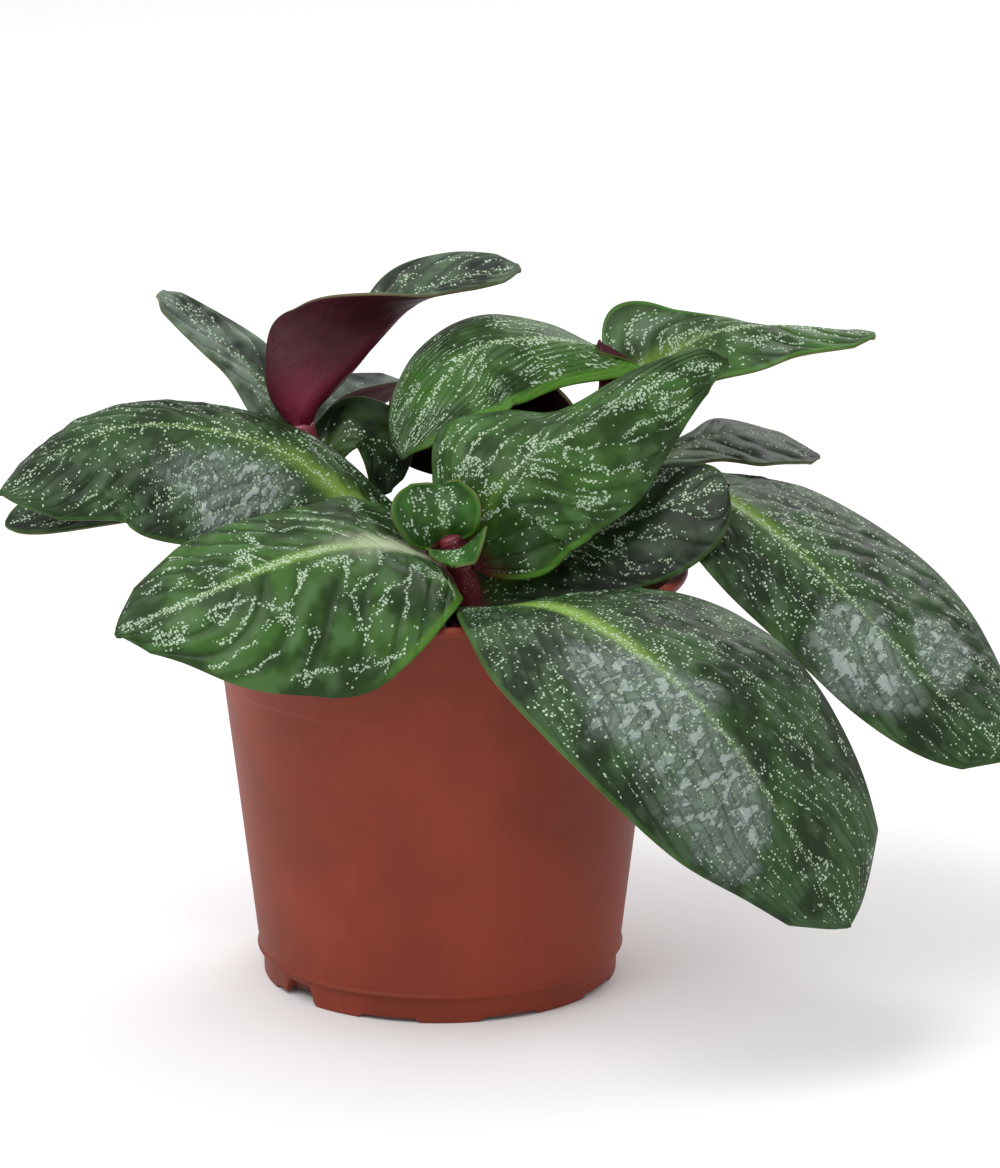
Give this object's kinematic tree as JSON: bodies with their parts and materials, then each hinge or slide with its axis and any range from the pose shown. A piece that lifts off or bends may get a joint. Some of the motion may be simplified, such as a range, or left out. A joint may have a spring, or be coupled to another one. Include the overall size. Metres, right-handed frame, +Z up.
{
  "type": "potted crassula",
  "caption": "Small succulent with broad waxy, pale-flecked green leaves, red beneath, on red stems in a round terracotta-red nursery pot.",
  "frame": {"origin": "centre of the pot's standing face, on the ground", "axes": "+Z up, +X to the right of the front view along the plant's widest spread, +Y away from the front"},
  "size_m": [0.2127, 0.1574, 0.1488],
  "materials": {
    "pot": "satin terracotta-red plastic",
    "soil": "rough dark peat",
    "stem_front": "fleshy, satin red",
    "stem_middle": "fleshy, satin red",
    "stem_left": "fleshy, satin red",
    "stem_right": "fleshy, satin red",
    "leaf_front_left": "fleshy, waxy green with pale flecks, red beneath",
    "leaf_middle_right": "fleshy, waxy green with pale flecks, red beneath",
    "leaf_front_right": "fleshy, waxy green with pale flecks, red beneath",
    "leaf_inner_right": "fleshy, waxy green with pale flecks, red beneath",
    "leaf_left": "fleshy, waxy green with pale flecks, red beneath",
    "leaf_far_right": "fleshy, waxy green with pale flecks, red beneath",
    "leaf_back_right_low": "fleshy, waxy green with pale flecks, red beneath",
    "leaf_back_right": "fleshy, waxy green with pale flecks, red beneath",
    "leaf_top_middle": "fleshy, waxy green with pale flecks, red beneath",
    "leaf_top_right": "fleshy, waxy green with pale flecks, red beneath",
    "leaf_back": "fleshy, waxy green with pale flecks, red beneath",
    "leaf_top_left": "fleshy, waxy green with pale flecks, red beneath",
    "leaf_upper_left": "fleshy, waxy green with pale flecks, red beneath",
    "leaf_left_low": "fleshy, waxy green with pale flecks, red beneath",
    "leaf_inner_left": "fleshy, waxy green with pale flecks, red beneath",
    "leaf_back_folded": "fleshy, waxy green with pale flecks, red beneath",
    "leaf_back_left": "fleshy, waxy green with pale flecks, red beneath",
    "bud_leaf_left": "fleshy, waxy light green",
    "bud_leaf_front": "fleshy, waxy light green"
  },
  "bodies": {
    "root": {"pot": "pot", "soil": "soil", "stem_front": "stem_front", "stem_middle": "stem_middle", "stem_left": "stem_left", "stem_right": "stem_right", "leaf_front_left": "leaf_front_left", "leaf_middle_right": "leaf_middle_right", "leaf_front_right": "leaf_front_right", "leaf_inner_right": "leaf_inner_right", "leaf_left": "leaf_left", "leaf_far_right": "leaf_far_right", "leaf_back_right_low": "leaf_back_right_low", "leaf_back_right": "leaf_back_right", "leaf_top_middle": "leaf_top_middle", "leaf_top_right": "leaf_top_right", "leaf_back": "leaf_back", "leaf_top_left": "leaf_top_left", "leaf_upper_left": "leaf_upper_left", "leaf_left_low": "leaf_left_low", "leaf_inner_left": "leaf_inner_left", "leaf_back_folded": "leaf_back_folded", "leaf_back_left": "leaf_back_left", "bud_leaf_left": "bud_leaf_left", "bud_leaf_front": "bud_leaf_front"}
  },
  "joints": []
}
